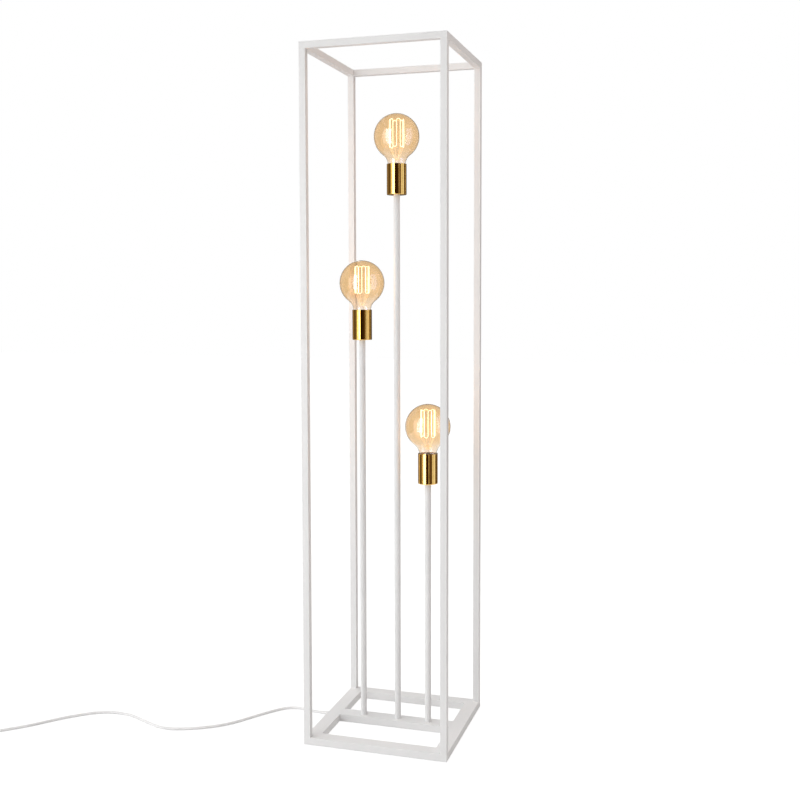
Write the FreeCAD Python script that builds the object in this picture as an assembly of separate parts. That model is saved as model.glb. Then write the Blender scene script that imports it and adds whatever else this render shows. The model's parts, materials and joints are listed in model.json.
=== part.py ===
import FreeCAD, Part
import math
import os

# Cage floor lamp. Millimetres, +Z up, origin on the floor at the middle of the base.
# X runs along the front, Y from the front to the back.

V = FreeCAD.Vector
UP = V(0, 0, 1)
ALONG_X = V(1, 0, 0)
ALONG_Y = V(0, 1, 0)

# Cage: a ring of flat tube on the floor, four square posts and a ring of square tube on top.
frame_width = 300.0
frame_depth = 300.0
frame_height = 1410.0
tube_side = 13.5
tube_wall = 1.2
rail_width = 29.0
rail_height = 15.0
rail_wall = 1.5
edge_radius = 0.5
pad_diameter = 16.0
pad_thickness = 1.0

# Crossbar: a channel, open below, that carries the three stems and hides the wiring.
crossbar_width = 33.0
crossbar_wall = 1.5
cover_thickness = 1.2
cover_recess = 2.6
cover_clearance = 0.25
boss_diameter = 7.0
boss_offset = 9.0
boss_inset = 13.0
boss_count = 4
screw_diameter = 3.0
screw_clearance = 0.1
screw_bite = 5.0
screw_bore_spare = 0.5
screw_head_diameter = 5.6
screw_head_height = 2.0
screw_slot_length = 3.5
screw_slot_width = 0.9
screw_slot_depth = 1.0

# Stems: three round tubes of different lengths, each held by a threaded nipple at both ends.
stem_names = ("left", "centre", "right")
stem_places = {"left": -72.0, "centre": 4.5, "right": 71.0}
stem_lengths = {"left": 805.5, "centre": 1105.5, "right": 507.5}
stem_diameter = 13.0
nipple_diameter = 10.0
nipple_bore = 7.6
nipple_reach = 12.0
nipple_clearance = 0.1
nipple_tail = 1.2
nut_across_flats = 14.0
nut_height = 3.0

# Lamp holders: a brass cup over an insulating body with a screw shell and a centre contact.
cup_diameter = 41.0
cup_height = 63.0
cup_wall = 0.8
cup_floor = 1.0
cup_edge_radius = 1.4
holder_base_height = 10.0
holder_clearance = 0.3
holder_floor = 5.0
holder_foot_height = 4.0
holder_wire_hole = 3.8
holder_wall = 3.4
holder_below_rim = 6.5
shell_bore = 27.0
shell_wall = 0.5
shell_below_rim = 10.0
shell_clearance = 0.15
contact_width = 6.0
contact_thickness = 0.5
contact_clearance = 0.3
contact_foot_start = -9.0
contact_foot_end = -4.0
contact_bend = -1.5
contact_tongue_end = 3.0
contact_lean = 0.5

# Bulbs: heights are counted up from the bulb's own centre contact.
bulb_length = 138.0
bulb_depth = 34.8
globe_diameter = 94.0
glass_wall = 0.8
neck_diameter = 37.0
neck_blend_radius = 24.0
neck_seal_diameter = 25.0
neck_seal_bottom = 12.0
neck_flare_bottom = 27.4
cap_diameter = 26.4
cap_wall = 0.4
cap_height = 27.0
cap_cone_bottom = 4.6
cap_cone_top = 7.4
cap_lip = 0.4
cap_lip_height = 1.6
button_diameter = 9.6
button_flat_diameter = 7.2
button_round = 0.6
button_height = 1.8
insulator_rim = 1.0
insulator_top_diameter = 22.6
insulator_thickness = 1.4
insulator_gap = 0.1
stem_flare_bottom = 15.0
stem_flare_top = 26.0
pinch_top = 46.0
pinch_diameter = 6.0
rod_diameter = 2.6
rod_button_diameter = 4.6
rod_button_height = 2.0
filament_turn_diameter = 30.0
filament_wire = 0.9
filament_bottom = 73.0
filament_top = 122.0
filament_strands = 12
filament_start_angle = 107.0
support_wire = 0.6
support_wire_sink = 0.3

# Supply cord with a foot switch and a flat two-pin plug.
cord_diameter = 6.0
cord_exit_height = 7.5
bush_flange_diameter = 11.0
bush_flange_height = 1.5
bush_shank_diameter = 8.2
bush_shank_length = 5.0
relief_length = 20.0
relief_root_diameter = 8.4
relief_tip_diameter = 6.8
cord_hole_clearance = 0.5
sheath_reach = 9.0
inner_cable_diameter = 4.5
inner_cable_bend = 4.5
wiring_clearance = 0.4
entry_gap = 0.2
block_start = -50.5
block_end = -24.5
block_front = -4.0
block_back = 10.0
supply_corners = ((14.0, 1.0), (30.0, 5.0))
supply_entry = 6.0
right_stem_entry = 7.0
switch_length = 78.0
switch_width = 30.0
switch_base_height = 10.0
switch_cover_height = 9.0
switch_wall = 2.0
switch_edge_radius = 4.0
switch_corner_radius = 8.0
switch_relief_length = 20.0
moulded_relief_lip = 0.4
moulded_relief_swell = 2.4
button_cap_length = 26.0
button_cap_width = 16.0
button_cap_radius = 6.4
button_cap_rise = 4.0
button_cap_edge = 1.2
button_travel = 2.5
button_gap = 0.35
button_flange = 1.2
button_flange_reach = 2.5
contact_block_length = 22.0
contact_block_width = 14.0
plug_length = 36.0
plug_shoulder = 20.0
plug_width = 35.0
plug_nose_width = 26.0
plug_height = 13.8
plug_edge_radius = 4.0
plug_relief_length = 22.0
pin_diameter = 4.0
pin_length = 19.0
pin_root_diameter = 4.4
pin_depth = 6.0
pin_collar = 0.6
pin_spacing = 19.0
pin_clearance = 0.05

# The cord's way along the floor, as corners of its centre line, by hand.
lead_route = (
    (-171.5, 0.0, 8.5),
    (-196.0, 0.0, 8.5),
    (-226.0, 22.0, 3.6),
    (-260.0, 15.0, 3.0),
    (-298.0, -38.0, 3.0),
    (-340.0, -106.0, 3.0),
    (-396.0, -146.0, 3.0),
    (-462.0, -168.0, 3.0),
    (-520.0, -142.0, 3.0),
    (-578.0, -115.0, 3.0),
    (-640.0, -121.0, 3.0),
    (-700.0, -175.0, 3.0),
    (-752.0, -245.0, 3.0),
    (-810.0, -292.0, 3.0),
)
arc_share = 0.45
coil_outer_radius = 40.0
coil_pitch = 6.8
coil_half_turns = 5
plug_drop_run = 44.0

# Worked out from the sizes above.
frame_bottom = pad_thickness
rail_top = frame_bottom + rail_height
frame_top = frame_bottom + frame_height
stem_bore = nipple_diameter + 2 * nipple_clearance
channel_ceiling = rail_top - crossbar_wall
cover_bottom = frame_bottom + cover_recess
cover_top = cover_bottom + cover_thickness
cord_exit = frame_bottom + cord_exit_height
crossbar_length = frame_width - 2 * rail_width
cup_bore = cup_diameter - 2 * cup_wall
globe_centre = bulb_length - globe_diameter / 2
contact_height = cup_height - bulb_depth
filament_step = 360 / filament_strands
wiring_level = cover_top + wiring_clearance + inner_cable_diameter / 2
cord_lie = cord_diameter / 2
switch_total_length = switch_length + 2 * switch_relief_length

# How far a cutting or joining solid reaches past the face that it works on, and how near is the same.
past = 1.0
near = 0.01


def section_wire(centre, u, v, width, height, radius):
    """A rounded rectangle about centre, width along u and height along v."""
    half_w = width / 2 - radius
    half_h = height / 2 - radius
    corner = radius * math.sqrt(0.5)
    edges = []
    turns = ((1, 1), (-1, 1), (-1, -1), (1, -1))
    for index, (a, b) in enumerate(turns):
        middle = centre + u * (a * half_w) + v * (b * half_h)
        side_u = middle + u * (a * radius)
        side_v = middle + v * (b * radius)
        peak = middle + u * (a * corner) + v * (b * corner)
        first, last = (side_u, side_v) if a == b else (side_v, side_u)
        edges.append(Part.Arc(first, peak, last).toShape())
        c, d = turns[(index + 1) % 4]
        other = centre + u * (c * half_w) + v * (d * half_h)
        start = other + (v * (d * radius) if a == b else u * (c * radius))
        edges.append(Part.LineSegment(last, start).toShape())
    return Part.Wire(edges)


def hollow_bar(start, along, u, v, width, height, length, wall):
    """A hollow bar with rounded long edges, from start along the given direction."""
    outer = Part.Face(section_wire(start, u, v, width, height, edge_radius))
    inner = Part.Face(section_wire(start, u, v, width - 2 * wall, height - 2 * wall, edge_radius))
    return outer.extrude(along * length).cut(inner.extrude(along * length))


def cylinder(diameter, height, base, direction=UP):
    return Part.makeCylinder(diameter / 2, height, base, direction)


def ring(outer_diameter, inner_diameter, height, base, direction=UP):
    bore = cylinder(inner_diameter, height + 2 * past, base - direction * past, direction)
    return cylinder(outer_diameter, height, base, direction).cut(bore)


def revolved(corners, base):
    """A solid of revolution about Z from (radius, height) corners, heights counted from base."""
    points = [V(base.x + r, base.y, base.z + z) for r, z in corners]
    face = Part.Face(Part.makePolygon(points + [points[0]]))
    return face.revolve(base, UP, 360)


def block(width, depth, height, centre_bottom):
    corner = centre_bottom - V(width / 2, depth / 2, 0)
    return Part.makeBox(width, depth, height, corner)


def export(shape, node):
    os.makedirs("parts", exist_ok=True)
    shape.exportStep("parts/%s.step" % node)


def export_group(solids, node):
    export(Part.makeCompound(solids), node)


# Cage


def mitre(side, width):
    """The plan of one mitred side of the square, as a tall prism."""
    x = frame_width / 2
    y = frame_depth / 2
    plans = {
        "front": ((-x, -y), (x, -y), (x - width, -y + width), (-x + width, -y + width)),
        "back": ((-x, y), (x, y), (x - width, y - width), (-x + width, y - width)),
        "left": ((-x, -y), (-x, y), (-x + width, y - width), (-x + width, -y + width)),
        "right": ((x, -y), (x, y), (x - width, y - width), (x - width, -y + width)),
    }
    points = [V(a, b, frame_bottom - past) for a, b in plans[side]]
    face = Part.Face(Part.makePolygon(points + [points[0]]))
    return face.extrude(UP * (frame_height + 2 * past))


def ring_side(side, width, height, wall, bottom):
    """One mitred tube of a square ring whose outside is the cage's outside."""
    x = frame_width / 2
    y = frame_depth / 2
    middle = bottom + height / 2
    if side in ("front", "back"):
        place = (-1 if side == "front" else 1) * (y - width / 2)
        bar = hollow_bar(V(-x, place, middle), ALONG_X, ALONG_Y, UP, width, height, frame_width, wall)
    else:
        place = (-1 if side == "left" else 1) * (x - width / 2)
        bar = hollow_bar(V(place, -y, middle), ALONG_Y, ALONG_X, UP, width, height, frame_depth, wall)
    return bar.common(mitre(side, width))


def bottom_rail(side):
    rail = ring_side(side, rail_width, rail_height, rail_wall, frame_bottom)
    if side != "left":
        return rail
    x = -frame_width / 2
    bush_hole = bush_shank_diameter + 2 * screw_clearance
    outer = cylinder(bush_hole, rail_wall + 2 * past, V(x - past, 0, cord_exit), ALONG_X)
    cord_hole = cord_diameter + 2 * cord_hole_clearance
    inner_start = V(x + rail_width - rail_wall - past, 0, cord_exit)
    inner = cylinder(cord_hole, rail_wall + 2 * past, inner_start, ALONG_X)
    return rail.cut(outer).cut(inner)


def post(x_sign, y_sign):
    x = x_sign * (frame_width - tube_side) / 2
    y = y_sign * (frame_depth - tube_side) / 2
    length = frame_top - tube_side - rail_top
    return hollow_bar(V(x, y, rail_top), UP, ALONG_X, ALONG_Y, tube_side, tube_side, length, tube_wall)


def foot_pads():
    x = (frame_width - rail_width) / 2
    y = (frame_depth - rail_width) / 2
    places = [V(a * x, b * y, 0) for a in (-1, 1) for b in (-1, 1)]
    return [cylinder(pad_diameter, pad_thickness, place) for place in places]


# Crossbar


def boss_centres():
    """Cover screws stand at even steps along the crossbar, on alternate sides of the wiring."""
    first = boss_inset - crossbar_length / 2
    step = (crossbar_length - 2 * boss_inset) / (boss_count - 1)
    return [V(first + step * n, boss_offset * (-1) ** n, 0) for n in range(boss_count)]


def crossbar():
    outer = block(crossbar_length, crossbar_width, rail_height, V(0, 0, frame_bottom))
    inside = crossbar_width - 2 * crossbar_wall
    hollow = block(crossbar_length + 2 * past, inside, rail_height, V(0, 0, frame_bottom - crossbar_wall))
    channel = outer.cut(hollow)
    boss_height = rail_top - crossbar_wall / 2 - cover_top
    for centre in boss_centres():
        channel = channel.fuse(cylinder(boss_diameter, boss_height, centre + UP * cover_top))
    bore = screw_diameter + 2 * screw_clearance
    for centre in boss_centres():
        start = centre + UP * (cover_top - past)
        channel = channel.cut(cylinder(bore, screw_bite + screw_bore_spare + past, start))
    for name in stem_names:
        start = stem_axis(name, channel_ceiling - past)
        channel = channel.cut(cylinder(stem_bore, crossbar_wall + 2 * past, start))
    return channel


def crossbar_cover():
    width = crossbar_width - 2 * crossbar_wall - 2 * cover_clearance
    length = crossbar_length - 2 * cover_clearance
    plate = block(length, width, cover_thickness, V(0, 0, cover_bottom))
    hole = screw_diameter + 4 * screw_clearance
    for centre in boss_centres():
        start = centre + UP * (cover_bottom - past)
        plate = plate.cut(cylinder(hole, cover_thickness + 2 * past, start))
    return plate


def cover_screws():
    screws = []
    for centre in boss_centres():
        head_bottom = centre + UP * (cover_bottom - screw_head_height)
        head = cylinder(screw_head_diameter, screw_head_height, head_bottom)
        shank = cylinder(screw_diameter, cover_thickness + screw_bite, centre + UP * cover_bottom)
        slot_height = screw_slot_depth + past
        long_slot = block(screw_slot_length, screw_slot_width, slot_height, head_bottom - UP * past)
        cross_slot = block(screw_slot_width, screw_slot_length, slot_height, head_bottom - UP * past)
        screws.append(head.fuse(shank).cut(long_slot).cut(cross_slot))
    return screws


# Stems


def cup_bottom(name):
    return rail_top + stem_lengths[name]


def stem_axis(name, height):
    return V(stem_places[name], 0, height)


def stem(name):
    return ring(stem_diameter, stem_bore, stem_lengths[name], stem_axis(name, rail_top))


def nipples():
    """A threaded tube through the crossbar and another through the cup, for each stem."""
    lower_start = channel_ceiling - nut_height - nipple_tail
    lower_length = rail_top + nipple_reach - lower_start
    solids = []
    for name in stem_names:
        solids.append(ring(nipple_diameter, nipple_bore, lower_length, stem_axis(name, lower_start)))
        start = cup_bottom(name) - nipple_reach
        length = nipple_reach + cup_floor + nut_height + holder_base_height / 2
        solids.append(ring(nipple_diameter, nipple_bore, length, stem_axis(name, start)))
    return solids


def hexagon_nut(base):
    corner = nut_across_flats / math.sqrt(3)
    points = []
    for n in range(7):
        angle = math.radians(60 * n)
        points.append(base + V(corner * math.cos(angle), corner * math.sin(angle), 0))
    body = Part.Face(Part.makePolygon(points)).extrude(UP * nut_height)
    return body.cut(cylinder(stem_bore, nut_height + 2 * past, base - UP * past))


def locknuts():
    solids = []
    for name in stem_names:
        solids.append(hexagon_nut(stem_axis(name, channel_ceiling - nut_height)))
        solids.append(hexagon_nut(stem_axis(name, cup_bottom(name) + cup_floor)))
    return solids


# Lamp holders


def holder_cup(name):
    base = stem_axis(name, cup_bottom(name))
    body = cylinder(cup_diameter, cup_height, base)
    lowest = [e for e in body.Edges if abs(e.BoundBox.ZMax - base.z) < near]
    body = body.makeFillet(cup_edge_radius, lowest)
    body = body.cut(cylinder(cup_bore, cup_height, base + UP * cup_floor))
    return body.cut(cylinder(stem_bore, cup_floor + 2 * past, base - UP * past))


def holder_base_bottom(name):
    return cup_bottom(name) + cup_floor + nut_height


def holder_base(name):
    """A disc over the nut that the upper nipple screws into."""
    base = stem_axis(name, holder_base_bottom(name))
    outer = cup_bore - 2 * holder_clearance
    body = ring(outer, nipple_bore, holder_base_height, base)
    return body.cut(cylinder(stem_bore, holder_base_height / 2 + nipple_clearance + past, base - UP * past))


def body_bore():
    return shell_bore + 2 * shell_wall + 2 * shell_clearance


def holder_body(name):
    """The insulating body: a foot as wide as the cup's bore and a barrel round the screw shell."""
    bottom = holder_base_bottom(name) + holder_base_height
    top = cup_bottom(name) + cup_height - holder_below_rim
    base = stem_axis(name, bottom)
    body = cylinder(body_bore() + 2 * holder_wall, top - bottom, base)
    foot = cylinder(cup_bore - 2 * holder_clearance, holder_foot_height, base)
    body = body.fuse(foot)
    body = body.cut(cylinder(body_bore(), top - bottom, base + UP * holder_floor))
    return body.cut(cylinder(holder_wire_hole, holder_floor + 2 * past, base - UP * past))


def screw_shell(name):
    bottom = holder_base_bottom(name) + holder_base_height + holder_floor
    top = cup_bottom(name) + cup_height - shell_below_rim
    return ring(shell_bore + 2 * shell_wall, shell_bore, top - bottom, stem_axis(name, bottom))


def centre_contact(name):
    """A sprung strip that rises from the holder's floor to just under the bulb's contact."""
    floor = holder_base_bottom(name) + holder_base_height + holder_floor
    top = cup_bottom(name) + contact_height - contact_clearance
    rise = top - floor - contact_thickness
    profile = (
        (contact_foot_start, 0.0),
        (contact_foot_end, 0.0),
        (contact_bend, rise),
        (contact_tongue_end, rise),
        (contact_tongue_end, rise + contact_thickness),
        (contact_bend - contact_lean, rise + contact_thickness),
        (contact_foot_end - contact_lean, contact_thickness),
        (contact_foot_start, contact_thickness),
    )
    x = stem_places[name]
    points = [V(x + a, -contact_width / 2, floor + b) for a, b in profile]
    return Part.Face(Part.makePolygon(points + [points[0]])).extrude(ALONG_Y * contact_width)


# Bulbs


def bulb_tip_height(name):
    return cup_bottom(name) + contact_height


def glass_profile(inset):
    """Half outline of the glass from the seal up to the crown, drawn inset from the outside."""
    radius = globe_diameter / 2
    neck = neck_diameter / 2
    across = neck + neck_blend_radius
    reach = radius + neck_blend_radius
    down = math.sqrt(reach**2 - across**2)
    blend_centre = (across, globe_centre - down)
    sphere = radius - inset
    blend = neck_blend_radius + inset
    meet = (across * sphere / reach, globe_centre - down * sphere / reach)
    seal = neck_seal_diameter / 2 - inset
    turn = math.atan2(down, across)
    middle_angle = math.pi - turn / 2
    blend_middle = (
        blend_centre[0] + blend * math.cos(middle_angle),
        blend_centre[1] + blend * math.sin(middle_angle),
    )
    rise = math.asin((meet[1] - globe_centre) / sphere)
    sphere_angle = (rise + math.pi / 2) / 2
    sphere_middle = (sphere * math.cos(sphere_angle), globe_centre + sphere * math.sin(sphere_angle))
    return {
        "seal": seal,
        "neck": (neck - inset, blend_centre[1]),
        "blend_middle": blend_middle,
        "meet": meet,
        "sphere_middle": sphere_middle,
        "crown": (0.0, globe_centre + sphere),
    }


def glass_solid(inset, bottom, base):
    outline = glass_profile(inset)

    def at(point):
        return V(base.x + point[0], base.y, base.z + point[1])

    foot = at((0, bottom))
    seal_low = at((outline["seal"], bottom))
    seal_high = at((outline["seal"], neck_flare_bottom))
    edges = [
        Part.LineSegment(foot, seal_low).toShape(),
        Part.LineSegment(seal_low, seal_high).toShape(),
        Part.LineSegment(seal_high, at(outline["neck"])).toShape(),
        Part.Arc(at(outline["neck"]), at(outline["blend_middle"]), at(outline["meet"])).toShape(),
        Part.Arc(at(outline["meet"]), at(outline["sphere_middle"]), at(outline["crown"])).toShape(),
        Part.LineSegment(at(outline["crown"]), foot).toShape(),
    ]
    return Part.Face(Part.Wire(edges)).revolve(base, UP, 360)


def bulb_glass(name):
    base = stem_axis(name, bulb_tip_height(name))
    outside = glass_solid(0.0, neck_seal_bottom, base)
    inside = glass_solid(glass_wall, neck_seal_bottom - past, base)
    return outside.cut(inside)


def bulb_cap(name):
    base = stem_axis(name, bulb_tip_height(name))
    radius = cap_diameter / 2
    cone = insulator_top_diameter / 2 + insulator_gap
    corners = (
        (cone, cap_cone_bottom),
        (cone + cap_wall, cap_cone_bottom),
        (radius, cap_cone_top),
        (radius, cap_height - cap_lip_height),
        (radius + cap_lip, cap_height - cap_lip_height),
        (radius + cap_lip, cap_height),
        (radius - cap_wall, cap_height),
        (radius - cap_wall, cap_cone_top),
    )
    return revolved(corners, base)


def bulb_tip(name):
    """The soldered contact and the black insulator above it."""
    base = stem_axis(name, bulb_tip_height(name))
    flat = button_flat_diameter / 2
    radius = button_diameter / 2
    corners = ((0, 0), (flat, 0), (radius, button_round), (radius, button_height), (0, button_height))
    button = revolved(corners, base)
    top = insulator_top_diameter / 2
    shelf = cap_cone_bottom + insulator_thickness
    corners = (
        (0, button_height),
        (radius + insulator_rim, button_height),
        (top, cap_cone_bottom),
        (top, shelf),
        (0, shelf),
    )
    return [button, revolved(corners, base)]


def bulb_mount(name):
    """The glass foot, pinch and centre rod that hold the filament."""
    base = stem_axis(name, bulb_tip_height(name))
    foot = neck_seal_diameter / 2 - glass_wall
    pinch = pinch_diameter / 2
    rod = rod_diameter / 2
    button = rod_button_diameter / 2
    button_bottom = filament_top + rod_button_height / 2
    corners = (
        (0, stem_flare_bottom),
        (foot, stem_flare_bottom),
        (foot, stem_flare_bottom + glass_wall),
        (pinch, stem_flare_top),
        (pinch, pinch_top),
        (rod, pinch_top + pinch / 2),
        (rod, button_bottom),
        (button, button_bottom + rod_button_height / 2),
        (rod, button_bottom + rod_button_height),
        (0, button_bottom + rod_button_height),
    )
    return revolved(corners, base)


def filament_end(name, index, upper):
    """The upper or lower end of one of the filament's upright strands."""
    angle = math.radians(filament_start_angle + filament_step * index)
    radius = filament_turn_diameter / 2
    height = filament_top if upper else filament_bottom
    middle = stem_axis(name, bulb_tip_height(name) + height)
    return middle + V(radius * math.cos(angle), radius * math.sin(angle), 0)


def filament_link(name, index):
    """Start, peak and end of the half circle from a strand to the next, above and below in turn."""
    upper = index % 2 == 0
    first = filament_end(name, index, upper)
    last = filament_end(name, index + 1, upper)
    reach = (last - first).Length / 2
    peak = (first + last) * 0.5 + UP * (reach if upper else -reach)
    return first, peak, last


def filament_tails(name):
    """The two ends of the wire."""
    return filament_end(name, 0, False), filament_end(name, filament_strands - 1, filament_strands % 2 == 1)


def bulb_filament(name):
    """One wire: upright strands round the bulb's axis, joined by half circles."""
    start, end = filament_tails(name)
    edges = []
    for n in range(filament_strands - 1):
        first, peak, last = filament_link(name, n)
        edges += [line(start, first), Part.Arc(first, peak, last).toShape()]
        start = last
    edges.append(line(start, end))
    return tube(edges, filament_wire, name + " filament")


def support(hold, hold_diameter, end):
    """A straight wire that starts a little inside the round glass about hold."""
    away = unit(V(end.x - hold.x, end.y - hold.y, 0))
    root = hold + away * (hold_diameter / 2 - support_wire_sink)
    return cylinder(support_wire, (end - root).Length, root, unit(end - root))


def bulb_wires(name):
    """Wires from the rod's top to the upper links, and from the pinch to the lower ones and the tails."""
    tip = bulb_tip_height(name)
    rod_hold = stem_axis(name, tip + filament_top + rod_button_height)
    pinch_hold = stem_axis(name, tip + pinch_top - pinch_diameter / 2)
    peaks = [filament_link(name, n)[1] for n in range(filament_strands - 1)]
    wires = [support(rod_hold, rod_diameter, peak) for peak in peaks[0::2]]
    lower = peaks[1::2] + list(filament_tails(name))
    return wires + [support(pinch_hold, pinch_diameter, end) for end in lower]


# Cord


def unit(vector):
    return V(vector).normalize()


def bend(before, corner, after, setback):
    """The tangent arc that rounds a corner between points as far from it as setback."""
    arriving = unit(corner - before)
    leaving = unit(after - corner)
    half_turn = arriving.getAngle(leaving) / 2
    radius = setback / math.tan(half_turn)
    inward = unit(leaving - arriving)
    centre = corner + inward * (radius / math.cos(half_turn))
    first = corner - arriving * setback
    last = corner + leaving * setback
    arc = Part.Arc(first, centre - inward * radius, last).toShape()
    return first, arc, last, radius


def line(a, b):
    return Part.LineSegment(a, b).toShape()


def route_edges(points, label):
    """Straight runs joined by tangent arcs as large as the two runs allow."""
    edges = []
    radii = []
    start = points[0]
    for before, corner, after in zip(points, points[1:], points[2:]):
        shorter = min((corner - before).Length, (after - corner).Length)
        first, arc, last, radius = bend(before, corner, after, arc_share * shorter)
        edges += [line(start, first), arc]
        radii.append(round(radius, 1))
        start = last
    edges.append(line(start, points[-1]))
    print(label, "arc radii", radii)
    return edges


def tube(edges, diameter, label):
    """A round tube along the edges, with its volume set against its section times its length."""
    wire = Part.Wire(edges)
    first = edges[0]
    start = first.valueAt(first.FirstParameter)
    heading = first.tangentAt(first.FirstParameter)
    circle = Part.Wire(Part.makeCircle(diameter / 2, start, heading))
    solid = wire.makePipeShell([circle], True, False)
    expected = math.pi * diameter**2 / 4 * wire.Length
    print(label, "length", round(wire.Length, 1), "volume ratio", round(solid.Volume / expected, 5))
    return solid


def biarc(p0, t0, p1, t1):
    """Two tangent arcs from p0, heading t0, to p1, heading t1."""
    v = p1 - p0
    t = t0 + t1
    a = 2 * (1 - t0.dot(t1))
    b = 2 * v.dot(t)
    c = -v.dot(v)
    d = -c / b if abs(a) < 1e-9 else (-b + math.sqrt(b * b - 4 * a * c)) / (2 * a)
    q0 = p0 + t0 * d
    q1 = p1 - t1 * d
    joint = (q0 + q1) * 0.5
    arcs = []
    for start, corner, end in ((p0, q0, joint), (joint, q1, p1)):
        chord = (end - start).Length
        height = (corner - (start + end) * 0.5).Length
        if height < near / 100:
            arcs.append(line(start, end))
            continue
        half = math.atan2(height, chord / 2)
        sagitta = chord / 2 * math.tan(half / 2)
        middle = (start + end) * 0.5
        arcs.append(Part.Arc(start, middle + unit(corner - middle) * sagitta, end).toShape())
    return arcs


def put_away_frame():
    """Where the lead ends, the way its last run heads and the side that its coil turns to."""
    before, end = [V(*point) for point in lead_route[-2:]]
    heading = unit(end - before)
    side = V(heading.y, -heading.x, 0)
    return end, heading, side


def coil_centre():
    end, heading, side = put_away_frame()
    return end + heading * (switch_total_length + 2 * cord_diameter) + side * coil_outer_radius


def coil_turns():
    """Half turns of the coil as (start offset, end offset, level) across its middle line."""
    half = coil_pitch / 2
    offset = -coil_outer_radius
    radius = coil_outer_radius
    turns = []
    for n in range(coil_half_turns):
        sign = 1 if n % 2 == 0 else -1
        turns.append((offset, offset + sign * 2 * radius, 0))
        offset += sign * 2 * radius
        radius -= half
    sign = 1 if coil_half_turns % 2 == 0 else -1
    turns.append((offset, offset + sign * 2 * radius, 0.5))
    offset += sign * 2 * radius
    radius += half
    for n in range(coil_half_turns):
        sign = -sign
        turns.append((offset, offset + sign * 2 * radius, 1))
        offset += sign * 2 * radius
        radius += half
    return turns


def half_turn_edges(start, end, way, side):
    """Half a turn from start, heading along way, to end, heading back, as four tangent arcs."""
    across = side if (end - start).dot(side) > 0 else side * -1
    radius = abs((end - start).dot(side)) / 2
    climb = (end.z - start.z) / (math.pi * radius)
    top = (start + end) * 0.5 + way * radius
    slope = unit(across + UP * climb)
    return biarc(start, way, top, slope) + biarc(top, slope, end, way * -1)


def coil_edges():
    """Turns that spiral in on the floor, climb in one half turn and spiral out above."""
    end, heading, side = put_away_frame()
    middle = coil_centre()
    edges = [line(end + heading * switch_total_length, middle - side * coil_outer_radius)]
    way = heading
    for begin, finish, level in coil_turns():
        low = coil_pitch if level == 1 else 0
        high = coil_pitch if level > 0 else 0
        start = middle + side * begin + UP * low
        last = middle + side * finish + UP * high
        edges += half_turn_edges(start, last, way, side)
        way = way * -1
    drop = plug_drop(last, way)
    edges += biarc(last, way, drop, way)
    edges.append(line(drop, drop + way * cord_diameter))
    return edges


def plug_drop(last, way):
    """Where the cord has come down from the coil's upper layer to the plug's height."""
    return V(last.x, last.y, plug_height / 2) + way * plug_drop_run


def plug_start():
    """The end of the cord, where the plug's strain relief begins, and the way it heads."""
    end, heading, side = put_away_frame()
    turns = coil_turns()
    last = coil_centre() + side * turns[-1][1]
    way = heading * -1 if len(turns) % 2 else heading
    return plug_drop(last, way) + way * cord_diameter, way


def least_coil_gap(edges):
    """The least distance between stretches of the coil that aren't neighbours along it."""
    points = []
    for edge in edges:
        count = max(2, int(edge.Length / 2.0))
        points += edge.discretize(count)[:-1]
    reach = cord_diameter * 3
    travelled = [0.0]
    for a, b in zip(points, points[1:]):
        travelled.append(travelled[-1] + (b - a).Length)
    least = None
    for i, a in enumerate(points):
        for j in range(i + 1, len(points)):
            if travelled[j] - travelled[i] > reach:
                gap = (points[j] - a).Length - cord_diameter
                least = gap if least is None else min(least, gap)
    return least


def placed(shape, origin, heading):
    """Turns a shape drawn along +X at the origin to lie along heading from origin."""
    angle = math.degrees(math.atan2(heading.y, heading.x))
    turned = shape.copy()
    turned.Placement = FreeCAD.Placement(origin, FreeCAD.Rotation(UP, angle))
    return turned


def cord_bush():
    """A snap-in bush with a tapered strain relief, moulded round the cord."""
    wall = V(-frame_width / 2, 0, cord_exit)
    back = ALONG_X * -1
    flange = cylinder(bush_flange_diameter, bush_flange_height, wall, back)
    shank = cylinder(bush_shank_diameter, bush_shank_length, wall + ALONG_X * bush_shank_length, back)
    root = wall + back * bush_flange_height
    relief = Part.makeCone(relief_root_diameter / 2, relief_tip_diameter / 2, relief_length, root, back)
    return flange.fuse(shank).fuse(relief)


def oblong(length, width, height, edge, start):
    """A block along +X with rounded upright corners and softened top and bottom edges."""
    wire = section_wire(start + V(length / 2, 0, 0), ALONG_X, ALONG_Y, length, width, edge)
    return Part.Face(wire).extrude(UP * height)


def softened(body, radius, height):
    """Rounds the edges of body that lie level at the given height."""
    level = [e for e in body.Edges if e.BoundBox.ZLength < near]
    chosen = [e for e in level if abs(e.BoundBox.ZMin - height) < near]
    return body.makeFillet(radius, chosen)


def moulded_relief(length, start, direction):
    """A strain relief that swells from the cord towards the housing."""
    tip = cord_diameter / 2 + moulded_relief_lip
    root = cord_diameter / 2 + moulded_relief_swell
    return Part.makeCone(tip, root, length, start, direction)


def switch_shell(bottom, height, cavity_bottom, cavity_height):
    """One half of the switch's housing and the cavity in it, drawn along +X from the cord's end."""
    start = V(switch_relief_length, 0, bottom)
    body = oblong(switch_length, switch_width, height, switch_corner_radius, start)
    inner_start = V(switch_relief_length + switch_wall, 0, cavity_bottom)
    inner_length = switch_length - 2 * switch_wall
    inner_width = switch_width - 2 * switch_wall
    inner_radius = switch_corner_radius - switch_wall
    return body, oblong(inner_length, inner_width, cavity_height, inner_radius, inner_start)


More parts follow.
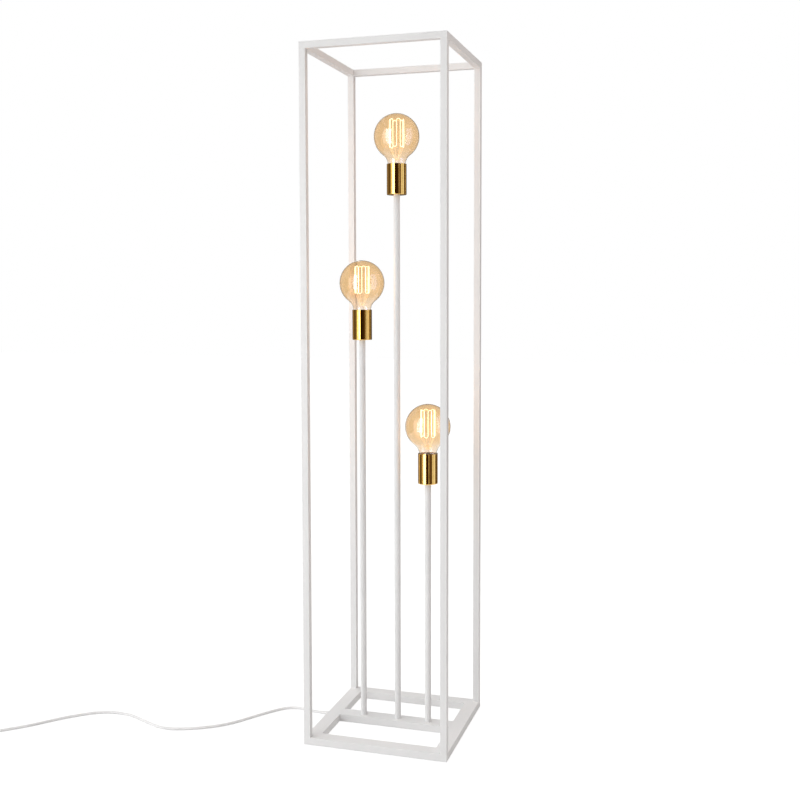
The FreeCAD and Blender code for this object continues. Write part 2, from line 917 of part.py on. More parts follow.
def switch_base():
    """The lower half, with the strain reliefs of both cord ends."""
    body, inner = switch_shell(0, switch_base_height, switch_wall, switch_base_height)
    body = softened(body, switch_wall / 2, 0).cut(inner)
    first = moulded_relief(switch_relief_length, V(0, 0, cord_lie), ALONG_X)
    second = moulded_relief(switch_relief_length, V(switch_total_length, 0, cord_lie), ALONG_X * -1)
    depth = moulded_relief_swell + past
    below_floor = block(2 * switch_total_length, switch_width, depth, V(0, 0, -depth))
    return body.fuse(first).fuse(second).cut(below_floor)


def switch_cover():
    """The upper half, with the opening for its button."""
    top = switch_base_height + switch_cover_height
    cavity_bottom = switch_base_height - past
    cavity_height = switch_cover_height - switch_wall + past
    body, inner = switch_shell(switch_base_height, switch_cover_height, cavity_bottom, cavity_height)
    body = softened(body, switch_edge_radius, top).cut(inner)
    hole_length = button_cap_length + 2 * button_gap
    hole_width = button_cap_width + 2 * button_gap
    hole_start = V((switch_total_length - hole_length) / 2, 0, switch_base_height)
    hole_radius = button_cap_radius + button_gap
    hole = oblong(hole_length, hole_width, switch_cover_height + past, hole_radius, hole_start)
    return body.cut(hole)


def button_seat():
    """The height of the underside of the button's flange at rest."""
    return switch_base_height + switch_cover_height - switch_wall - button_gap - button_flange


def switch_button():
    """A cap through the cover, with a flange that keeps it in."""
    cap_start = V((switch_total_length - button_cap_length) / 2, 0, button_seat())
    cap_height = button_flange + button_gap + switch_wall + button_cap_rise
    cap = oblong(button_cap_length, button_cap_width, cap_height, button_cap_radius, cap_start)
    cap = softened(cap, button_cap_edge, button_seat() + cap_height)
    flange_length = button_cap_length + 2 * button_flange_reach
    flange_width = button_cap_width + 2 * button_flange_reach
    flange_start = V((switch_total_length - flange_length) / 2, 0, button_seat())
    flange = oblong(flange_length, flange_width, button_flange, button_cap_radius, flange_start)
    return cap.fuse(flange)


def switch_contacts():
    """The contact block under the button, as low as the button's travel asks."""
    height = button_seat() - button_travel - button_gap - switch_wall
    middle = V(switch_total_length / 2, 0, switch_wall)
    return block(contact_block_length, contact_block_width, height, middle)


def plug_outline():
    """Plan of the plug, wider towards the pins, with its cord end at x = 0."""
    half_back = plug_nose_width / 2
    half_front = plug_width / 2
    points = [
        V(0, -half_back, 0),
        V(plug_shoulder, -half_front, 0),
        V(plug_length, -half_front, 0),
        V(plug_length, half_front, 0),
        V(plug_shoulder, half_front, 0),
        V(0, half_back, 0),
    ]
    return Part.Face(Part.makePolygon(points + [points[0]]))


def pin_root(side):
    """Where a pin's root begins, inside the plug."""
    return V(plug_relief_length + plug_length - pin_depth, side * pin_spacing / 2, plug_height / 2)


def plug_body():
    body = plug_outline().extrude(UP * plug_height)
    upright = [e for e in body.Edges if abs(e.BoundBox.ZLength - plug_height) < near]
    body = body.makeFillet(plug_edge_radius, upright)
    level = [e for e in body.Edges if e.BoundBox.ZLength < near]
    body = body.makeFillet(plug_edge_radius / 2, level)
    body.translate(ALONG_X * plug_relief_length)
    relief = moulded_relief(plug_relief_length + past, V(0, 0, plug_height / 2), ALONG_X)
    body = body.fuse(relief)
    for side in (-1, 1):
        hole = cylinder(pin_root_diameter + 2 * pin_clearance, pin_depth + past, pin_root(side), ALONG_X)
        body = body.cut(hole)
    return body


def plug_pins():
    """Round pins, with a thicker root that the plug holds and that shows as a low collar."""
    pins = []
    for side in (-1, 1):
        root = cylinder(pin_root_diameter, pin_depth + pin_collar, pin_root(side), ALONG_X)
        shank_start = pin_root(side) + ALONG_X * (pin_depth + pin_collar)
        length = pin_length - pin_collar - pin_diameter / 2
        shank = cylinder(pin_diameter, length, shank_start, ALONG_X)
        tip = Part.makeSphere(pin_diameter / 2, shank_start + ALONG_X * length)
        pins.append(root.fuse(shank).fuse(tip))
    return pins


# Wiring inside the frame


def terminal_block():
    """The block under the crossbar's ceiling where the supply meets the three stems' cables."""
    bottom = cover_top + wiring_clearance
    corner = V(block_start, block_front, bottom)
    return Part.makeBox(block_end - block_start, block_back - block_front, channel_ceiling - bottom, corner)


def stem_cable(name, entry):
    """A cable from the terminal block's entry, round under the nipple and up through the stem."""
    foot = stem_axis(name, wiring_level)
    top = stem_axis(name, holder_base_bottom(name) + holder_base_height - wiring_clearance)
    first, arc, last, radius = bend(entry, foot, top, inner_cable_bend)
    return tube([line(entry, first), arc, line(last, top)], inner_cable_diameter, name + " cable")


def inner_wiring():
    """The sheathed cord into the crossbar, its cores to the terminal block and a cable up each stem."""
    sheath_start = V(-frame_width / 2 + bush_shank_length, 0, cord_exit)
    sheath_stop = V(-crossbar_length / 2 + sheath_reach, 0, cord_exit)
    sheath = cylinder(cord_diameter, (sheath_stop - sheath_start).Length, sheath_start, ALONG_X)
    supply = [sheath_stop]
    supply += [V(sheath_stop.x + x, y, wiring_level) for x, y in supply_corners]
    supply.append(V(block_start - entry_gap, supply_entry, wiring_level))
    cores = tube(route_edges(supply, "supply"), inner_cable_diameter, "supply")
    entries = {
        "left": V(block_start - entry_gap, 0, wiring_level),
        "centre": V(block_end + entry_gap, 0, wiring_level),
        "right": V(block_end + entry_gap, right_stem_entry, wiring_level),
    }
    return [sheath, cores] + [stem_cable(name, entries[name]) for name in stem_names]


def build():
    sides = ("front", "back", "left", "right")
    for side in sides:
        export(bottom_rail(side), "bottom_rail_" + side)
        export(ring_side(side, tube_side, tube_side, tube_wall, frame_top - tube_side), "top_rail_" + side)
    for x_sign, x_name in ((-1, "left"), (1, "right")):
        for y_sign, y_name in ((-1, "front"), (1, "back")):
            export(post(x_sign, y_sign), "post_%s_%s" % (y_name, x_name))
    export_group(foot_pads(), "foot_pads")
    export(crossbar(), "crossbar")
    export(crossbar_cover(), "crossbar_cover")
    export_group(cover_screws(), "cover_screws")
    export_group(nipples(), "threaded_nipples")
    export_group(locknuts(), "locknuts")
    export_group([holder_base(name) for name in stem_names], "holder_bases")
    export_group([screw_shell(name) for name in stem_names], "screw_shells")
    export_group([centre_contact(name) for name in stem_names], "centre_contacts")
    for name in stem_names:
        export(stem(name), "stem_tube_" + name)
        export(holder_cup(name), "holder_cup_" + name)
        export(holder_body(name), "holder_body_" + name)
        export(bulb_glass(name), "bulb_glass_" + name)
        export(bulb_cap(name), "bulb_cap_" + name)
        export_group(bulb_tip(name), "bulb_tip_" + name)
        export(bulb_mount(name), "bulb_mount_" + name)
        export(bulb_filament(name), "bulb_filament_" + name)
        export_group(bulb_wires(name), "bulb_wires_" + name)
    export(cord_bush(), "cord_bush")
    lead = [V(*point) for point in lead_route]
    export(tube(route_edges(lead, "lead"), cord_diameter, "lead"), "cord_lead")
    coil = coil_edges()
    export(tube(coil, cord_diameter, "coil"), "cord_coil")
    print("coil least gap to itself", round(least_coil_gap(coil), 2))
    lead_end, lead_heading, side = put_away_frame()
    switch_origin = V(lead_end.x, lead_end.y, 0)
    for piece in (switch_base, switch_cover, switch_button, switch_contacts):
        export(placed(piece(), switch_origin, lead_heading), piece.__name__)
    plug_end, plug_heading = plug_start()
    plug_origin = V(plug_end.x, plug_end.y, 0)
    export(placed(plug_body(), plug_origin, plug_heading), "plug_body")
    export_group([placed(pin, plug_origin, plug_heading) for pin in plug_pins()], "plug_pins")
    export(terminal_block(), "terminal_block")
    export_group(inner_wiring(), "inner_wiring")


build()
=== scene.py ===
import json
import math

import bmesh
import bpy
from mathutils import Matrix, Vector


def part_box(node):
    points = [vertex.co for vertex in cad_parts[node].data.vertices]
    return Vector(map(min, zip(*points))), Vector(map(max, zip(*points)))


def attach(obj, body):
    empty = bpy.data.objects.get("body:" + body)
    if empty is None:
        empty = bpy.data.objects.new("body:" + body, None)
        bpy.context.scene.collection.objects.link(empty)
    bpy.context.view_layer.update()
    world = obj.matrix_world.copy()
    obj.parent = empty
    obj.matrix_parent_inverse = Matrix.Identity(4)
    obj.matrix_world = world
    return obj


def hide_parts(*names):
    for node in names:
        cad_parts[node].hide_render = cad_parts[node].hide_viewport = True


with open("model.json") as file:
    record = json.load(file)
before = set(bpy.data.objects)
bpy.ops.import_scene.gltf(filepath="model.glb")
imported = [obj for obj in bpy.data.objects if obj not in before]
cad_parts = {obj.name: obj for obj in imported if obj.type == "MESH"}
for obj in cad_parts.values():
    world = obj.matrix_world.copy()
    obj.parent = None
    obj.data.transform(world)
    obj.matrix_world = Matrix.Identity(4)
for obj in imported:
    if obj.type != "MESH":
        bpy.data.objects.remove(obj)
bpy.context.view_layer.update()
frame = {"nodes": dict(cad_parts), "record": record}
nodes = frame["nodes"]

STEMS = ("left", "centre", "right")
UP = Vector((0, 0, 1))

# Camera: its place and angles, and the photograph's focal length and optical centre in its 800 x 800 frame.
# Lengths are in metres and angles in radians.
CAMERA_PLACE = Vector((0.65955, -2.14165, 0.92036))
CAMERA_YAW = -0.29412
CAMERA_PITCH = -0.06447
CAMERA_ROLL = -0.0021
PICTURE_SIDE = 800
FOCAL_PIXELS = 1076.1
OPTICAL_CENTRE_ABOVE = 38.0
SENSOR_WIDTH = 36.0
NEAREST_SEEN = 0.05
FARTHEST_SEEN = 100.0

# Cord: its route along the floor, the coil that is put away, and what is on it.
CORD_DIAMETER = 0.006
CORD_STEPS = 6
CORD_ROUNDNESS = 5
LEAD_ROUTE = (
    (-0.1715, 0.0, 0.0085),
    (-0.196, 0.0, 0.0085),
    (-0.226, 0.022, 0.0036),
    (-0.260, 0.015, 0.003),
    (-0.298, -0.038, 0.003),
    (-0.340, -0.106, 0.003),
    (-0.396, -0.146, 0.003),
    (-0.462, -0.168, 0.003),
    (-0.520, -0.142, 0.003),
    (-0.578, -0.115, 0.003),
    (-0.640, -0.121, 0.003),
    (-0.700, -0.175, 0.003),
    (-0.752, -0.245, 0.003),
    (-0.810, -0.292, 0.003),
)
SWITCH_LENGTH = 0.118
COIL_AHEAD = 2 * CORD_DIAMETER
COIL_RADIUS = 0.040
COIL_PITCH = 0.0068
COIL_HALF_TURNS = 5
COIL_STEPS = 10
PLUG_CORD_HEIGHT = 0.0069
PLUG_DROP_RUN = 0.044
PLUG_DROP_BEND = PLUG_DROP_RUN / 3


# Materials

# A noise's values lie mostly between these two.
NOISE_LOW = 0.3
NOISE_HIGH = 0.7
DULL_GLOSS = 0.2
# The glass is palest below the first of these shares of its height, and has its full colour above the second.
PALE_UP_TO = 0.10
AMBER_FROM = 0.42


def new_material(name):
    material = bpy.data.materials.new(name)
    material.use_nodes = True
    tree = material.node_tree
    return material, tree, tree.nodes["Principled BSDF"]


def object_place(tree, stretch=(1, 1, 1)):
    """Object coordinates, stretched so that a texture is finer along some axes."""
    coordinates = tree.nodes.new("ShaderNodeTexCoord")
    mapping = tree.nodes.new("ShaderNodeMapping")
    mapping.inputs["Scale"].default_value = stretch
    tree.links.new(coordinates.outputs["Object"], mapping.inputs["Vector"])
    return mapping.outputs["Vector"]


def noise(tree, scale, detail=2.0, stretch=(1, 1, 1)):
    texture = tree.nodes.new("ShaderNodeTexNoise")
    texture.inputs["Scale"].default_value = scale
    texture.inputs["Detail"].default_value = detail
    tree.links.new(object_place(tree, stretch), texture.inputs["Vector"])
    return texture.outputs["Fac"]


def spread(tree, factor, low, high):
    """Spreads a noise's usual range over low to high."""
    ranged = tree.nodes.new("ShaderNodeMapRange")
    ranged.inputs["From Min"].default_value = NOISE_LOW
    ranged.inputs["From Max"].default_value = NOISE_HIGH
    ranged.inputs["To Min"].default_value = low
    ranged.inputs["To Max"].default_value = high
    tree.links.new(factor, ranged.inputs["Value"])
    return ranged.outputs["Result"]


def tint(tree, factor, first, second, start=NOISE_LOW, end=NOISE_HIGH):
    """Goes from the first colour to the second as the factor goes from start to end."""
    ramp = tree.nodes.new("ShaderNodeValToRGB")
    for element, position, colour in zip(ramp.color_ramp.elements, (start, end), (first, second)):
        element.position = position
        element.color = (*colour, 1)
    tree.links.new(factor, ramp.inputs["Fac"])
    return ramp.outputs["Color"]


def relief(tree, shader, factor, depth):
    bump = tree.nodes.new("ShaderNodeBump")
    bump.inputs["Distance"].default_value = depth
    bump.inputs["Strength"].default_value = 1.0
    tree.links.new(factor, bump.inputs["Height"])
    tree.links.new(bump.outputs["Normal"], shader.inputs["Normal"])


def surface(name, dark, light, colour_scale, rough, rough_scale, grain_scale, grain_depth, metallic=0.0,
            stretch=(1, 1, 1)):
    """A finish with uneven colour and roughness and a fine grain. The scales are the noises' own."""
    material, tree, shader = new_material(name)
    shader.inputs["Metallic"].default_value = metallic
    colour = tint(tree, noise(tree, colour_scale, 3.0, stretch), dark, light)
    tree.links.new(colour, shader.inputs["Base Color"])
    gloss = spread(tree, noise(tree, rough_scale, 2.0, stretch), *rough)
    tree.links.new(gloss, shader.inputs["Roughness"])
    relief(tree, shader, noise(tree, grain_scale, 2.0, stretch), grain_depth)
    return material


def dull(material):
    """The same finish with a weaker gloss."""
    material.node_tree.nodes["Principled BSDF"].inputs["Specular IOR Level"].default_value = DULL_GLOSS
    return material


def powder_coat():
    """White powder coat, with its fine orange peel."""
    return dull(surface("powder_coat_white", (0.835, 0.835, 0.835), (0.865, 0.865, 0.865), colour_scale=9.0,
                        rough=(0.38, 0.5), rough_scale=60.0, grain_scale=950.0, grain_depth=0.00006))


def brass():
    """Polished brass, with faint turning lines round it."""
    return surface("brass_polished", (0.88, 0.53, 0.13), (0.92, 0.57, 0.16), colour_scale=14.0,
                   rough=(0.07, 0.12), rough_scale=90.0, grain_scale=60.0, grain_depth=0.000001, metallic=1.0,
                   stretch=(1, 1, 24))


def amber_glass():
    """Clear amber glass with a thin coating, paler towards the neck."""
    material, tree, shader = new_material("glass_amber")
    shader.inputs["Transmission Weight"].default_value = 1.0
    shader.inputs["Roughness"].default_value = 0.0
    shader.inputs["IOR"].default_value = 1.47
    shader.inputs["Coat Weight"].default_value = 0.1
    shader.inputs["Coat IOR"].default_value = 1.8
    coordinates = tree.nodes.new("ShaderNodeTexCoord")
    split = tree.nodes.new("ShaderNodeSeparateXYZ")
    tree.links.new(coordinates.outputs["Generated"], split.inputs["Vector"])
    colour = tint(tree, split.outputs["Z"], (0.96, 0.91, 0.86), (0.90, 0.73, 0.515), PALE_UP_TO, AMBER_FROM)
    tree.links.new(colour, shader.inputs["Base Color"])
    return material


def clear_glass():
    material, tree, shader = new_material("glass_clear")
    shader.inputs["Transmission Weight"].default_value = 1.0
    shader.inputs["Roughness"].default_value = 0.03
    shader.inputs["IOR"].default_value = 1.5
    colour = tint(tree, noise(tree, 120.0), (0.90, 0.84, 0.78), (0.97, 0.95, 0.92))
    tree.links.new(colour, shader.inputs["Base Color"])
    return material


def glowing(material, dark, light, strength):
    """The same finish with its own glow, a little brighter and dimmer from place to place. On a part that is
    no lamp, this glow is painted light.
    """
    tree = material.node_tree
    shader = tree.nodes["Principled BSDF"]
    tree.links.new(tint(tree, noise(tree, 180.0), dark, light), shader.inputs["Emission Color"])
    shader.inputs["Emission Strength"].default_value = strength
    return material


def lit_filament():
    """The glowing wire."""
    material, _, shader = new_material("filament_lit")
    shader.inputs["Base Color"].default_value = (1.0, 0.75, 0.45, 1)
    shader.inputs["Roughness"].default_value = 0.6
    return glowing(material, (0.96, 0.93, 0.85), (1.0, 1.0, 0.98), 2.4)


def support_wire():
    """Copper-coated wire, with a painted warm glow that stands in for the filament's light falling on it."""
    material = surface("wire_copper_painted_light", (0.66, 0.40, 0.24), (0.84, 0.58, 0.38), colour_scale=400.0,
                       rough=(0.25, 0.4), rough_scale=500.0, grain_scale=2000.0, grain_depth=0.00001,
                       metallic=1.0)
    # Painted light: the warm glow here is the filament's light painted onto the wire.
    return glowing(material, (0.90, 0.55, 0.30), (1.0, 0.72, 0.45), 1.0)


def white_cord():
    return dull(surface("cord_white", (0.84, 0.84, 0.84), (0.88, 0.88, 0.88), colour_scale=30.0,
                        rough=(0.42, 0.55), rough_scale=80.0, grain_scale=800.0, grain_depth=0.00003))


def white_plastic():
    return dull(surface("plastic_white", (0.82, 0.82, 0.815), (0.87, 0.87, 0.865), colour_scale=25.0,
                        rough=(0.3, 0.42), rough_scale=90.0, grain_scale=1400.0, grain_depth=0.00004))


def small_part_finishes():
    """The finishes of the caps, contacts, holders, fixings, pads and pins."""
    return {
        "cap_brass": surface("brass_rolled", (0.70, 0.48, 0.20), (0.80, 0.58, 0.27), colour_scale=60.0,
                             rough=(0.2, 0.35), rough_scale=200.0, grain_scale=500.0, grain_depth=0.00002,
                             metallic=1.0),
        "contact_brass": surface("brass_sheet", (0.68, 0.47, 0.20), (0.78, 0.56, 0.26), colour_scale=60.0,
                                 rough=(0.25, 0.4), rough_scale=200.0, grain_scale=500.0, grain_depth=0.00002,
                                 metallic=1.0),
        "cap_insulator": surface("insulator_black", (0.012, 0.012, 0.014), (0.03, 0.03, 0.032),
                                 colour_scale=300.0, rough=(0.15, 0.3), rough_scale=300.0, grain_scale=700.0,
                                 grain_depth=0.00003),
        "holder_ceramic": surface("holder_dark", (0.05, 0.042, 0.036), (0.085, 0.07, 0.06),
                                  colour_scale=160.0, rough=(0.5, 0.65), rough_scale=200.0,
                                  grain_scale=900.0, grain_depth=0.00004),
        "zinc_plated_steel": surface("steel_zinc", (0.56, 0.56, 0.57), (0.68, 0.68, 0.69), colour_scale=120.0,
                                     rough=(0.3, 0.45), rough_scale=150.0, grain_scale=600.0,
                                     grain_depth=0.00003, metallic=1.0),
        "pad_rubber": surface("rubber_pale", (0.60, 0.60, 0.59), (0.68, 0.68, 0.67), colour_scale=80.0,
                              rough=(0.7, 0.85), rough_scale=100.0, grain_scale=700.0, grain_depth=0.00006),
        "contact_block": surface("block_pale", (0.70, 0.70, 0.66), (0.78, 0.78, 0.74), colour_scale=60.0,
                                 rough=(0.45, 0.6), rough_scale=120.0, grain_scale=900.0,
                                 grain_depth=0.00004),
        "nickel_pins": surface("nickel", (0.66, 0.64, 0.60), (0.76, 0.74, 0.70), colour_scale=150.0,
                               rough=(0.12, 0.22), rough_scale=200.0, grain_scale=900.0, grain_depth=0.00001,
                               metallic=1.0),
    }


MATERIALS = {
    "white_powder_coat": powder_coat(),
    "polished_brass": brass(),
    "amber_glass": amber_glass(),
    "clear_glass": clear_glass(),
    "glowing_filament": lit_filament(),
    "support_wire": support_wire(),
    "white_cord": white_cord(),
    "white_plastic": white_plastic(),
    **small_part_finishes(),
}


def dress_cad():
    """Every CAD node takes the finish of its slot."""
    for row in frame["record"]["subparts"]:
        mesh = nodes[row["node"]].data
        mesh.materials.clear()
        mesh.materials.append(MATERIALS[row["material_slot"]])


# Cord


def spline_object(name, points, diameter):
    """A round cord along one smooth spline whose control points are the given ones."""
    curve = bpy.data.curves.new(name, "CURVE")
    curve.dimensions = "3D"
    spline = curve.splines.new("NURBS")
    spline.points.add(len(points) - 1)
    for point, place in zip(spline.points, points):
        point.co = (*place, 1.0)
    spline.order_u = 3
    spline.use_endpoint_u = True
    spline.resolution_u = CORD_STEPS
    curve.bevel_depth = diameter / 2
    curve.bevel_resolution = CORD_ROUNDNESS
    curve.use_fill_caps = True
    curve.materials.append(MATERIALS["white_cord"])
    cord = bpy.data.objects.new(name, curve)
    bpy.context.scene.collection.objects.link(cord)
    return cord


def put_away_frame():
    """Where the lead ends, the way it heads there and the side that the coil turns to."""
    before, end = [Vector(point) for point in LEAD_ROUTE[-2:]]
    heading = (end - before).normalized()
    side = Vector((heading.y, -heading.x, 0))
    return end, heading, side


def half_turns():
    """The coil's half turns as (start offset, end offset, start level, end level)."""
    half = COIL_PITCH / 2
    offset = -COIL_RADIUS
    radius = COIL_RADIUS
    sign = 1
    turns = []
    levels = [(0, 0)] * COIL_HALF_TURNS + [(0, 1)] + [(1, 1)] * COIL_HALF_TURNS
    for n, (low, high) in enumerate(levels):
        turns.append((offset, offset + sign * 2 * radius, low, high))
        offset += sign * 2 * radius
        sign = -sign
        radius += -half if n < COIL_HALF_TURNS else half
    return turns


def rest_points():
    """From the switch round the coil and down to the plug."""
    end, heading, side = put_away_frame()
    start = end + heading * SWITCH_LENGTH
    centre = start + heading * COIL_AHEAD + side * COIL_RADIUS
    points = [start, start + heading * CORD_DIAMETER]
    way = heading
    for begin, finish, low, high in half_turns():
        radius = (finish - begin) / 2
        middle = centre + side * ((begin + finish) / 2)
        for step in range(COIL_STEPS):
            angle = math.pi * (step + 0.5) / COIL_STEPS
            level = low + (high - low) * (step + 0.5) / COIL_STEPS
            reach = abs(radius) / math.cos(math.pi / COIL_STEPS / 2)
            across = side * (-math.copysign(1, radius) * math.cos(angle) * reach)
            points.append(middle + across + way * (math.sin(angle) * reach) + UP * (COIL_PITCH * level))
        way = way * -1
    last = centre + side * half_turns()[-1][1] + UP * COIL_PITCH
    drop = Vector((last.x, last.y, PLUG_CORD_HEIGHT)) + way * PLUG_DROP_RUN
    points.append(last + way * PLUG_DROP_BEND)
    points.append(drop - way * PLUG_DROP_BEND)
    points.append(drop + way * CORD_DIAMETER)
    return points


def cords():
    lead = spline_object("cord_to_switch", LEAD_ROUTE, CORD_DIAMETER)
    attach(lead, "root")
    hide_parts("cord_lead")
    points = rest_points()
    rest = spline_object("cord_to_plug", points, CORD_DIAMETER)
    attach(rest, "root")
    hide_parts("cord_coil")


# Studio

OBJECT_MIDDLE = Vector((0.0, 0.0, 0.75))

# Floor: its paleness where it only lights the object, and the glow and the shadowed part of it that are seen.
FLOOR_SIDE = 24.0
FLOOR_HEIGHT = -0.0002
FLOOR_PALENESS = 0.8
FLOOR_GLOW = 0.88
FLOOR_SHADOWED_PART = 0.25

# Light from all round: its strength towards the horizon and overhead, and how much weaker it is towards +X.
AMBIENT_LOW = 0.44
AMBIENT_HIGH = 0.80
AMBIENT_SIDE = 0.6

# Bulbs: the light of each one, in watts.
BULB_POWER = 0.20
BULB_COLOUR = (1.0, 0.50, 0.22)
BULB_LIGHT_RADIUS = 0.02

# Cards: their distance, their lower and upper edge, and about how many degrees apart their corners are.
CARD_RADIUS = 1.5
CARD_HEIGHTS = (0.02, 2.1)
CARD_STEP = 6.0
CEILING_OPENING = 0.01


def ray_is(tree, *kinds):
    """1 for the named kinds of ray, and 0 for the rest."""
    path = tree.nodes.new("ShaderNodeLightPath")
    total = path.outputs[kinds[0]]
    for kind in kinds[1:]:
        larger = tree.nodes.new("ShaderNodeMath")
        larger.operation = "MAXIMUM"
        tree.links.new(total, larger.inputs[0])
        tree.links.new(path.outputs[kind], larger.inputs[1])
        total = larger.outputs[0]
    return total


SEEN_RAYS = ("Is Camera Ray", "Is Glossy Ray", "Is Transmission Ray")


def backdrop():
    """White where it is seen. Where it only lights the object, it grows upwards and away from +X."""
    world = bpy.data.worlds.new("studio")
    world.use_nodes = True
    bpy.context.scene.world = world
    tree = world.node_tree
    background = tree.nodes["Background"]
    background.inputs["Color"].default_value = (1, 1, 1, 1)
    coordinates = tree.nodes.new("ShaderNodeTexCoord")
    split = tree.nodes.new("ShaderNodeSeparateXYZ")
    tree.links.new(coordinates.outputs["Generated"], split.inputs["Vector"])
    upward = tree.nodes.new("ShaderNodeMapRange")
    upward.inputs["To Min"].default_value = AMBIENT_LOW
    upward.inputs["To Max"].default_value = AMBIENT_HIGH
    tree.links.new(split.outputs["Z"], upward.inputs["Value"])
    ambient = tree.nodes.new("ShaderNodeMath")
    ambient.operation = "MULTIPLY_ADD"
    ambient.inputs[1].default_value = -AMBIENT_SIDE
    ambient.use_clamp = True
    tree.links.new(split.outputs["X"], ambient.inputs[0])
    tree.links.new(upward.outputs["Result"], ambient.inputs[2])
    strength = tree.nodes.new("ShaderNodeMapRange")
    strength.inputs["To Max"].default_value = 1.0
    tree.links.new(ambient.outputs["Value"], strength.inputs["To Min"])
    tree.links.new(ray_is(tree, *SEEN_RAYS), strength.inputs["Value"])
    tree.links.new(strength.outputs["Result"], background.inputs["Strength"])


def grey(level):
    return (level, level, level, 1)


def floor():
    """A pale floor that shows white and keeps a faint shadow."""
    mesh = bpy.data.meshes.new("floor")
    sheet = bmesh.new()
    bmesh.ops.create_grid(sheet, x_segments=1, y_segments=1, size=FLOOR_SIDE / 2)
    sheet.to_mesh(mesh)
    sheet.free()
    plane = bpy.data.objects.new("floor", mesh)
    plane.location.z = FLOOR_HEIGHT
    bpy.context.scene.collection.objects.link(plane)
    material = bpy.data.materials.new("floor_white")
    material.use_nodes = True
    tree = material.node_tree
    tree.nodes.clear()
    output = tree.nodes.new("ShaderNodeOutputMaterial")
    lit = tree.nodes.new("ShaderNodeBsdfDiffuse")
    lit.inputs["Color"].default_value = grey(FLOOR_PALENESS)
    veil = tree.nodes.new("ShaderNodeBsdfDiffuse")
    veil.inputs["Color"].default_value = grey(FLOOR_SHADOWED_PART)
    glow = tree.nodes.new("ShaderNodeEmission")
    glow.inputs["Strength"].default_value = FLOOR_GLOW
    seen = tree.nodes.new("ShaderNodeAddShader")
    tree.links.new(veil.outputs[0], seen.inputs[0])
    tree.links.new(glow.outputs[0], seen.inputs[1])
    mix = tree.nodes.new("ShaderNodeMixShader")
    tree.links.new(ray_is(tree, *SEEN_RAYS), mix.inputs[0])
    tree.links.new(lit.outputs[0], mix.inputs[1])
    tree.links.new(seen.outputs[0], mix.inputs[2])
    tree.links.new(mix.outputs[0], output.inputs["Surface"])
    mesh.materials.append(material)


def around(bearing, distance, height):
    """A place by its bearing from the object: 0 is towards -Y and 90 towards +X."""
    angle = math.radians(bearing)
    return Vector((math.sin(angle) * distance, -math.cos(angle) * distance, height))


def reflector(name, columns, brightness, colour, on_surfaces=True, in_glass=False):
    """A sheet between pairs of points, seen only in reflections: those on surfaces, or those inside glass."""
    mesh = bpy.data.meshes.new(name)
    sheet = bmesh.new()
    pairs = [[sheet.verts.new(point) for point in column] for column in columns]
    for a, b in zip(pairs, pairs[1:]):
        sheet.faces.new((a[0], b[0], b[1], a[1]))
    sheet.to_mesh(mesh)
    sheet.free()
    material = bpy.data.materials.new(name)
    material.use_nodes = True
    tree = material.node_tree
    tree.nodes.clear()
    glow = tree.nodes.new("ShaderNodeEmission")
    glow.inputs["Color"].default_value = (*colour, 1)
    glow.inputs["Strength"].default_value = brightness
    reflected = tree.nodes.new("ShaderNodeLightPath").outputs["Glossy Depth"]
    mix = tree.nodes.new("ShaderNodeMixShader")
    tree.links.new(reflected, mix.inputs[0])
    tree.links.new(tree.nodes.new("ShaderNodeBsdfTransparent").outputs[0], mix.inputs[1])
    tree.links.new(glow.outputs[0], mix.inputs[2])
    output = tree.nodes.new("ShaderNodeOutputMaterial")
    tree.links.new(mix.outputs[0], output.inputs["Surface"])
    mesh.materials.append(material)
    piece = bpy.data.objects.new(name, mesh)
    piece.visible_camera = False
    piece.visible_diffuse = False
    piece.visible_glossy = on_surfaces
    piece.visible_transmission = in_glass
    piece.visible_shadow = False
    bpy.context.scene.collection.objects.link(piece)


def bearings(first, last):
    """Even steps from the first bearing to the last, in degrees."""
    steps = max(2, round((last - first) / CARD_STEP))
    return [first + (last - first) * n / steps for n in range(steps + 1)]


def card(name, first, last, brightness, colour, on_surfaces=True, in_glass=False):
    """An upright card round the object between two bearings."""
    columns = []
    for angle in bearings(first, last):
        columns.append([around(angle, CARD_RADIUS, height) for height in CARD_HEIGHTS])
    reflector(name, columns, brightness, colour, on_surfaces, in_glass)


def ceiling(brightness, colour):
    """A round ceiling on the cards' upper edges."""
    columns = []
    for angle in bearings(0, 360):
        columns.append([around(angle, reach, CARD_HEIGHTS[1]) for reach in (CARD_RADIUS, CEILING_OPENING)])
    reflector("ceiling", columns, brightness, colour)


def softbox(name, bearing, distance, middle_height, width, height, power, colour, downwards=False):
    """A flat lamp that points at the object, or straight down if asked. It lights and isn't seen."""
    lamp = bpy.data.lights.new(name, "AREA")
    lamp.shape = "RECTANGLE"
    lamp.size = width
    lamp.size_y = height
    lamp.energy = power
    lamp.color = colour
    box = bpy.data.objects.new(name, lamp)
    box.location = around(bearing, distance, middle_height)
    aim = -UP if downwards else OBJECT_MIDDLE - box.location
    box.rotation_euler = aim.to_track_quat("-Z", "Y").to_euler()
    box.visible_camera = False
    box.visible_glossy = False
    bpy.context.scene.collection.objects.link(box)


def bulb_light(name):
    """The warm light that a lit bulb throws on what stands near it."""
    low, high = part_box("bulb_filament_" + name)
    lamp = bpy.data.lights.new("bulb_light_" + name, "POINT")
    lamp.energy = BULB_POWER
    lamp.color = BULB_COLOUR
    lamp.shadow_soft_size = BULB_LIGHT_RADIUS
    glow = bpy.data.objects.new("bulb_light_" + name, lamp)
    glow.location = (low + high) / 2
    glow.visible_camera = False
    glow.visible_glossy = False
    glow.visible_transmission = False
    bpy.context.scene.collection.objects.link(glow)


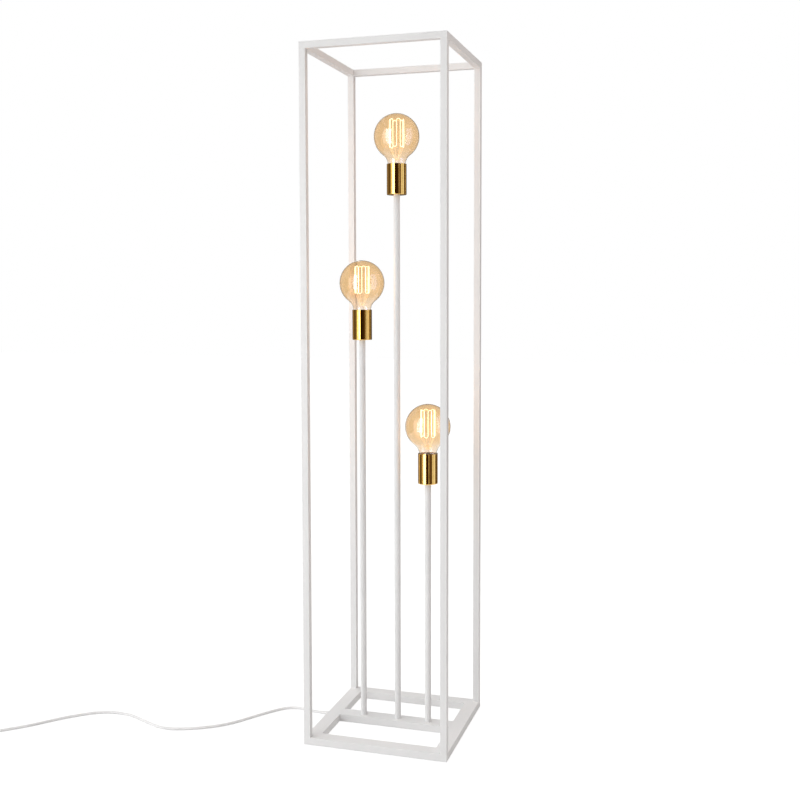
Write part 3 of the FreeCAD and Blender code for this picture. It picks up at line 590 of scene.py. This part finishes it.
def camera():
    forward = Vector((
        math.sin(CAMERA_YAW) * math.cos(CAMERA_PITCH),
        math.cos(CAMERA_YAW) * math.cos(CAMERA_PITCH),
        math.sin(CAMERA_PITCH),
    ))
    level_right = Vector((math.cos(CAMERA_YAW), -math.sin(CAMERA_YAW), 0))
    level_up = level_right.cross(forward)
    right = level_right * math.cos(CAMERA_ROLL) + level_up * math.sin(CAMERA_ROLL)
    up = level_up * math.cos(CAMERA_ROLL) - level_right * math.sin(CAMERA_ROLL)
    lens = bpy.data.cameras.new("camera")
    lens.sensor_width = SENSOR_WIDTH
    lens.lens = FOCAL_PIXELS / PICTURE_SIDE * SENSOR_WIDTH
    lens.shift_y = -OPTICAL_CENTRE_ABOVE / PICTURE_SIDE
    lens.clip_start = NEAREST_SEEN
    lens.clip_end = FARTHEST_SEEN
    eye = bpy.data.objects.new("camera", lens)
    turn = Matrix((right, up, -forward)).transposed().to_4x4()
    eye.matrix_world = Matrix.Translation(CAMERA_PLACE) @ turn
    bpy.context.scene.collection.objects.link(eye)
    bpy.context.scene.camera = eye


def quiet_bulbs():
    """The glass throws no shadow, and the wire's own glow is seen but lights through the lamps above."""
    for name in STEMS:
        for part in ("glass", "mount", "wires", "filament"):
            nodes["bulb_%s_%s" % (part, name)].visible_shadow = False
        nodes["bulb_filament_" + name].visible_diffuse = False


def lamps():
    for name in STEMS:
        bulb_light(name)
    softbox("softbox_left", -29, 3.0, 0.65, 2.3, 3.0, 36, (1, 1, 1))
    softbox("softbox_over_cord", -67, 1.0, 1.3, 1.0, 1.0, 2.4, (1, 1, 1), downwards=True)
    softbox("softbox_right", 88, 1.6, 2.0, 1.5, 1.6, 12.5, (1.0, 0.87, 0.80))


def cards():
    """The bright and dark stripes on the cups, from left to right, and the pale patches inside the glass."""
    ceiling(0.08, (1.0, 0.9, 0.8))
    card("card_left_edge", -60, -39, 0.55, (1.0, 0.96, 0.9))
    card("card_left_middle", -39, -28, 5.0, (1.0, 0.95, 0.90))
    card("card_left", -28, -8, 7.0, (1.0, 0.95, 0.85))
    card("card_glass_left", -40, -12, 5.5, (1.0, 1.25, 2.2), on_surfaces=False, in_glass=True)
    card("card_near", -8, 26, 0.03, (1.0, 0.45, 0.2))
    card("card_near_right", 26, 41, 0.05, (1.0, 0.6, 0.2))
    card("card_between", 41, 67, 0.12, (1.0, 0.7, 0.35))
    card("card_right", 67, 86, 1.0, (0.88, 0.94, 1.2))
    card("card_right_bar", 86, 89, 0.3, (1.0, 0.9, 0.8))
    card("card_right_edge", 89, 107, 1.0, (0.92, 1.05, 1.5))
    card("card_glass_right", 68, 98, 4.0, (1.0, 1.2, 2.0), on_surfaces=False, in_glass=True)
    card("card_far_right", 110, 150, 0.12, (1.0, 0.7, 0.4))
    card("card_behind", 150, 235, 0.10, (1.0, 0.9, 0.8))
    card("card_far_left", 235, 265, 0.30, (1.0, 0.85, 0.7))
    card("card_side", 265, 300, 0.12, (1.0, 0.75, 0.4))


dress_cad()
quiet_bulbs()
cords()
camera()
backdrop()
floor()
lamps()
cards()

scene = bpy.context.scene
scene.view_settings.view_transform = "Standard"
